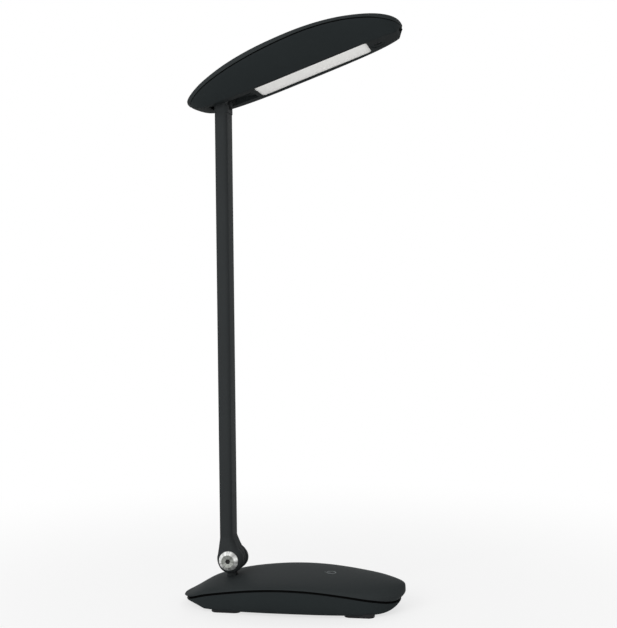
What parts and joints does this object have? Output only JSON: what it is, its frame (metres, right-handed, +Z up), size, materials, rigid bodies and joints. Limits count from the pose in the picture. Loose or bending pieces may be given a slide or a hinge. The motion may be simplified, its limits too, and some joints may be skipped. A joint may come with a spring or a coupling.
{
  "type": "led table lamp",
  "caption": "Cordless LED desk lamp with a rounded two-shell base, a flat upright arm on a friction hinge and a leaf-shaped tilting head with a flat light panel.",
  "frame": {"origin": "on the table, below the middle of the base", "axes": "+Z up, +X from the hinge towards the front tip of the base, +Y away from the viewer"},
  "size_m": [0.1531, 0.082, 0.3931],
  "materials": {
    "housing": "fine satin texture, charcoal black",
    "arm": "satin charcoal black paint",
    "foot": "matt black",
    "bright_metal": "turned and polished, bare",
    "light_panel": "frosted off-white diffuser",
    "reflector_white": "matt white",
    "circuit_board": "green solder mask",
    "led_board": "white solder mask on metal",
    "chip": "matt black",
    "can": "plain can",
    "copper": "bare copper foil",
    "cable": "matt black jacket",
    "ballast": "plain rolled",
    "steel": "plated",
    "fastener": "zinc plated",
    "dark_fastener": "blackened"
  },
  "bodies": {
    "base": {"ballast_plate": "ballast", "ballast_screw_1": "fastener", "ballast_screw_2": "fastener", "base_bottom_shell": "housing", "base_top_shell": "housing", "board_screw_1": "fastener", "board_screw_2": "fastener", "board_screw_3": "fastener", "board_screw_4": "fastener", "capacitor": "can", "charge_port": "steel", "control_board": "circuit_board", "control_chip": "chip", "foot_1": "foot", "foot_2": "foot", "foot_3": "foot", "foot_4": "foot", "hinge_plate": "steel", "hinge_post": "steel", "inductor": "chip", "plate_screw_1": "fastener", "plate_screw_2": "fastener", "plate_screw_3": "fastener", "plate_screw_4": "fastener", "post_screw": "fastener", "shell_screw_1": "fastener", "shell_screw_2": "fastener", "shell_screw_3": "fastener", "shell_screw_4": "fastener", "touch_electrode": "copper", "touch_spring": "steel"},
    "arm": {"arm_cable": "cable", "arm_tube": "arm", "grub_screw_1": "dark_fastener", "grub_screw_2": "dark_fastener", "hinge_bolt": "bright_metal", "hinge_cap": "bright_metal", "hinge_washer_1": "fastener", "hinge_washer_2": "fastener", "lower_knuckle": "arm", "neck": "arm", "spring_washer": "fastener"},
    "head": {"axle_washer_1": "fastener", "axle_washer_2": "fastener", "diffuser": "light_panel", "head_axle": "fastener", "head_bracket": "steel", "head_cover": "housing", "head_hull": "housing", "head_screw_1": "dark_fastener", "head_screw_2": "dark_fastener", "led_board": "led_board", "led_screw_1": "fastener", "led_screw_2": "fastener", "led_screw_3": "fastener", "led_screw_4": "fastener", "reflector": "reflector_white", "retaining_ring": "fastener"}
  },
  "joints": [
    {"name": "arm_hinge", "type": "hinge", "parent": "base", "child": "arm", "pos_m": [-0.0432, 0, 0.031], "axis": [0, 1, 0], "range_deg": [-10, 85]},
    {"name": "head_tilt", "type": "hinge", "parent": "arm", "child": "head", "pos_m": [-0.0455, 0, 0.3427], "axis": [0, 1, 0], "range_deg": [-8, 80]}
  ]
}
